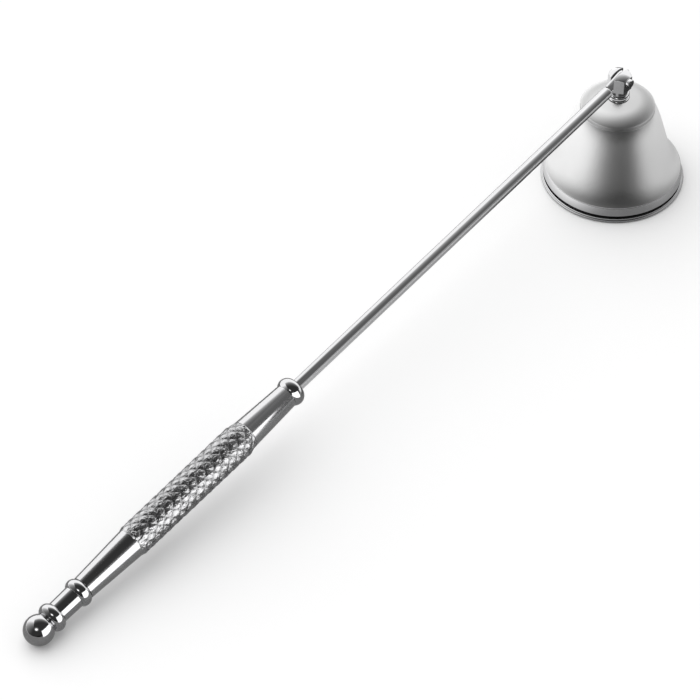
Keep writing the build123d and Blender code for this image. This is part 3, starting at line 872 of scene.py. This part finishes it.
class SNUFFER_OT_studio(bpy.types.Operator):
    """Set the table, the light tent, the key light and the camera"""

    bl_idname = "snuffer.studio"
    bl_label = "Studio"

    def stand(self, name, points, faces, material):
        """Make or remake one object of the studio."""
        old = bpy.data.objects.get(name)
        if old:
            bpy.data.objects.remove(old)
        mesh = bpy.data.meshes.new(name)
        mesh.from_pydata(points, [], faces)
        mesh.materials.append(material)
        thing = bpy.data.objects.new(name, mesh)
        bpy.context.scene.collection.objects.link(thing)
        return thing

    def table(self, name, material, level):
        """A square table of 6 m at a level."""
        corners = [(-3, -3, level), (3, -3, level), (3, 3, level), (-3, 3, level)]
        table = self.stand(name, corners, [(0, 1, 2, 3)], material)
        return table

    def card(self, name, points, glow, cloth, pieces):
        """A card that only some pieces mirror, over a grid of points.

        glow holds a share of the cloth's full strength for each point.
        """
        rows, columns = points.shape[:2]
        first = (np.arange(rows - 1)[:, None] * columns + np.arange(columns - 1)).ravel()
        faces = np.stack([first, first + columns, first + columns + 1, first + 1], 1)
        card = self.stand(name, points.reshape(-1, 3), faces.tolist(), cloth)
        shares = card.data.attributes.new("glow", "FLOAT", "POINT").data
        shares.foreach_set("value", glow.astype(np.float32).ravel())
        card.visible_camera = card.visible_diffuse = card.visible_shadow = False
        group = bpy.data.collections.get("mirrors_" + name) or bpy.data.collections.new("mirrors_" + name)
        for piece in pieces:
            if piece not in group.objects:
                group.objects.link(bpy.data.objects[piece])
        card.light_linking.receiver_collection = group

    def handle_tent(self, cloth, right, away):
        """A low light tent lit from behind, a white strip beside the handle and a lamp near the camera.

        A card is corner + s across + t along, with s and t from 0 to 1. With w the distance behind the bell's
        middle and u the distance to its right, in mm, the cloth fades towards the camera as
        exp((w - edge - lean u) / fall), and is full behind the edge. The rod has a dim right wall of its own,
        0.12 - 0.0032 (w + 66) between 0.1 and 0.4. Rod and grip share a faint roof, 0.08 step((u + 57) / 5).
        """
        view = np.array([right, away, (0, 0, 1)]) * MM
        s, t = np.meshgrid(np.linspace(0, 1, 97), np.linspace(0, 1, 97), indexing="ij")
        s, t = s[..., None], t[..., None]
        # Sizes of the tent in mm; the rod's own cards hang 1 mm inside it
        left, width, front, depth, high = -240, 490, -1200, 1550, 155
        # name: corner, across, along (right, back, up in mm), edge, fall, lean, full
        walls = {
            "tent_roof": ((left, front, high), (width, 0, 0), (0, depth, 0), (60, 45, 0.3, 1.0)),
            "tent_back": ((left, front + depth, 0), (width, 0, 0), (0, 0, high), (-999, 1, 0, 1.0)),
            "tent_left": ((left, front, 0), (0, depth, 0), (0, 0, high), (-100, 45, 0, 1.0)),
            "tent_right": ((left + width, front, 0), (0, depth, 0), (0, 0, high), (-45, 60, 0, 0.87)),
        }
        beside_rod = [piece for piece in HANDLE_PIECES if piece != "rod_with_eye"]
        for name, (corner, across, along, (edge, fall, lean, full)) in walls.items():
            points = (corner + s * across + t * along) @ view
            u, w = points @ right / MM, points @ away / MM
            glow = np.maximum(0.03, full * np.exp(np.minimum(0, w - edge - lean * u) / fall))
            self.card(name, points, glow, cloth, beside_rod if name == "tent_right" else HANDLE_PIECES)
        points = ((left, front, high - 1) + s * (width, 0, 0) + t * (0, depth, 0)) @ view
        glow = 0.08 * step((points @ right / MM + 57) / 5)
        self.card("rod_roof", points, glow, cloth, ["rod_with_eye", "knurled_grip"])
        points = ((left + width - 1, front, 0) + s * (0, depth, 0) + t * (0, 0, high)) @ view
        glow = np.clip(0.12 - 0.0032 * (points @ away / MM + 66), 0.1, 0.4)
        self.card("rod_wall", points, glow, cloth, ["rod_with_eye"])
        strip = ((120, 60, 0) + s * (130, 0, 0) + t * (0, 0, 55)) * MM
        self.card("white_strip", strip, np.full(s.shape, 1.3), cloth, HANDLE_PIECES)
        lamp, spread = (-193, -278, 150) @ view, 26 * MM
        points = lamp + ((-90, -90, 0) + s * (180, 0, 0) + t * (0, 180, 0)) @ view
        glow = 2.2 * np.exp(-np.sum((points - lamp) ** 2, 2) / spread**2)
        self.card("lamp_near_camera", points, glow, cloth, HANDLE_PIECES)

    def bell_tent(self, cloth, right, away, strength):
        """A round tent for the bell: two low bright sides, a cloth overhead, a dark front.

        With d the turn from the camera to the right and e the height, both in degrees, and step(x) the smooth
        step 1 / (1 + exp(-x)), the left side is 0.93 step((-d - 37 - 0.2 e) / 10.2) step((16 - e) / 2.9), and
        the right side is alike. On the table, bell and rim mirror the sides half as bright again from about
        24 mm off the bell's axis, the rim with less of the right. The post mirrors a patch left of the camera
        and a bright part behind; the rod mirrors a plain card from 42 mm outwards.
        """

        def left(d, e):
            return 0.93 * step((-d - 37 - 0.2 * e) / 10.2)

        def right_side(d, e):
            return 0.57 * step((d - 43 - 0.56 * e) / 6.8)

        d, e = np.meshgrid(np.linspace(-180, 180, 241), np.linspace(0, 90, 91), indexing="ij")
        a = np.cos(np.radians(e)) * np.sin(np.radians(d))
        b = -np.cos(np.radians(e)) * np.cos(np.radians(d))
        dome = np.stack([a, b, np.sin(np.radians(e))], 2) @ np.array([right, away, (0, 0, 1)])
        sides = left(d, e) * step((16 - e) / 2.9) + right_side(d, e) * step((27.5 - e) / 9.5)
        roof = 5.7 * step((b - 0.69 - 0.57 * a) / 0.36) * step((e - 51) / 18.1)
        self.card("bell_dome", 550 * MM * dome, (sides + roof + 0.045) / strength, cloth, BELL_PIECES)
        d, reach = np.meshgrid(np.linspace(-180, 180, 241), np.linspace(20.8, 549, 265), indexing="ij")
        ring = np.sin(np.radians(d))[..., None] * right - np.cos(np.radians(d))[..., None] * away
        near = 1.5 * step((reach - 23.7) / 4.3)
        patch = 0.44 * step((d + 40) / 3) * step((-8 - d) / 3)
        tables = {
            "bell_table": (near * (left(d, 0) + right_side(d, 0)), BELL_PIECES[:1]),
            "rim_table": (near * (left(d, 0) + 0.35 * right_side(d, 0)) + 0.2, BELL_PIECES[1:]),
            "post_table": (patch + step((-d - 95) / 8), ["slotted_hex_post"]),
            "rod_table": (0.4 * step((reach - 42) / 4), ["rod_with_eye"]),
        }
        # The cards lie 0.1 mm apart under the table's top, so that no two share a level
        for count, (name, (light, pieces)) in enumerate(tables.items(), 1):
            points = reach[..., None] * MM * ring + count * np.array([0, 0, -0.1]) * MM
            self.card(name, points, light / strength, cloth, pieces)

    def room(self, scene, studio):
        """A plain pale room for the table's light and the background; the metal mirrors the tent instead."""
        world = bpy.data.worlds.get("pale_room") or bpy.data.worlds.new("pale_room")
        scene.world = world
        world.use_nodes = True
        tree = world.node_tree
        tree.nodes.clear()
        seen = add_node(tree, "ShaderNodeLightPath").outputs["Is Camera Ray"]
        levels = {"Value": seen, "To Min": studio.room_strength, "To Max": 0.95}
        strength = add_node(tree, "ShaderNodeMapRange", levels).outputs[0]
        shade = add_node(tree, "ShaderNodeBackground", {"Color": (1, 1, 1, 1), "Strength": strength})
        add_node(tree, "ShaderNodeOutputWorld", {"Surface": shade.outputs[0]})
        world.cycles_visibility.glossy = False

    def execute(self, context):
        """The camera sees a pale table; the metal mirrors a greyer one with a sheen, as in a light tent."""
        scene = context.scene
        studio = scene.snuffer_studio
        pale = self.table("table_seen", table_card("pale_photo_card", studio.table_colour, 0), 0)
        pale.visible_glossy = pale.visible_shadow = False
        sheen = table_card("grey_photo_card", studio.mirrored_colour, studio.mirrored_gloss, near=0.22)
        grey = self.table("table_mirrored", sheen, -0.5 * MM)
        grey.visible_camera = grey.visible_diffuse = False
        self.room(scene, studio)
        cloth = lit_cloth(studio.tent_strength)
        right, _, away = directions(studio.camera_azimuth)
        self.handle_tent(cloth, right, away)
        self.bell_tent(cloth, right, away, studio.tent_strength)
        # The bell, seat, post, pin and rod aren't mirrored in other pieces, which show the tent alone
        for name in BELL_PIECES[:1] + HANDLE_PIECES[:4]:
            bpy.data.objects[name].visible_glossy = False
        lamp = bpy.data.lights.new("key_softbox", "SUN")
        lamp.energy = studio.key_strength
        lamp.angle = studio.key_spread
        key = bpy.data.objects.new("key_softbox", lamp)
        key.rotation_euler = Vector((0.05, -0.66, 1.0)).to_track_quat("Z", "Y").to_euler()
        key.visible_glossy = False
        scene.collection.objects.link(key)
        right, up, forward = directions(studio.camera_azimuth, studio.camera_elevation)
        # The bell's mouth stands right of and above the middle of the view
        spot = -76.27 * MM * right - 51.21 * MM * up - studio.camera_distance * forward
        camera = bpy.data.objects.new("camera", bpy.data.cameras.new("camera"))
        camera.data.lens = studio.lens
        camera.data.sensor_width = 36
        camera.data.clip_start, camera.data.clip_end = 0.01, 20
        turn = Matrix((right, up, -forward)).transposed()
        camera.matrix_world = Matrix.Translation(Vector(spot)) @ turn.to_4x4()
        scene.collection.objects.link(camera)
        scene.camera = camera
        scene.view_settings.view_transform = "Standard"
        return {"FINISHED"}


class SNUFFER_PT_panel(bpy.types.Panel):
    """The snuffer's sizes, finishes and build steps"""

    bl_idname = "SNUFFER_PT_panel"
    bl_label = "Candle snuffer"
    bl_space_type = "VIEW_3D"
    bl_region_type = "UI"
    bl_category = "Snuffer"

    def draw(self, context):
        for name in SETTINGS:
            box = self.layout.box()
            group = getattr(context.scene, name)
            for setting in group.bl_rna.properties:
                if setting.identifier not in ("rna_type", "name"):
                    box.prop(group, setting.identifier)
        for step in STEPS:
            self.layout.operator(step.bl_idname)


SETTINGS = {
    "snuffer_bell": SnufferBell,
    "snuffer_handle": SnufferHandle,
    "snuffer_finish": SnufferFinish,
    "snuffer_studio": SnufferStudio,
}
STEPS = (
    SNUFFER_OT_satin_bell,
    SNUFFER_OT_polished_rim,
    SNUFFER_OT_hinge,
    SNUFFER_OT_inner_fixing,
    SNUFFER_OT_rod,
    SNUFFER_OT_handle_rings,
    SNUFFER_OT_knurled_grip,
    SNUFFER_OT_studio,
)


def register():
    for group in SETTINGS.values():
        bpy.utils.register_class(group)
    for name, group in SETTINGS.items():
        setattr(bpy.types.Scene, name, bpy.props.PointerProperty(type=group))
    for step in STEPS:
        bpy.utils.register_class(step)
    bpy.utils.register_class(SNUFFER_PT_panel)


def unregister():
    bpy.utils.unregister_class(SNUFFER_PT_panel)
    for step in reversed(STEPS):
        bpy.utils.unregister_class(step)
    for name, group in SETTINGS.items():
        delattr(bpy.types.Scene, name)
        bpy.utils.unregister_class(group)


def main():
    register()
    bpy.ops.snuffer.satin_bell()
    bpy.ops.snuffer.polished_rim()
    bpy.ops.snuffer.hinge()
    bpy.ops.snuffer.inner_fixing()
    bpy.ops.snuffer.rod()
    bpy.ops.snuffer.handle_rings()
    bpy.ops.snuffer.knurled_grip()
    bpy.ops.snuffer.studio()


if __name__ == "__main__":
    main()
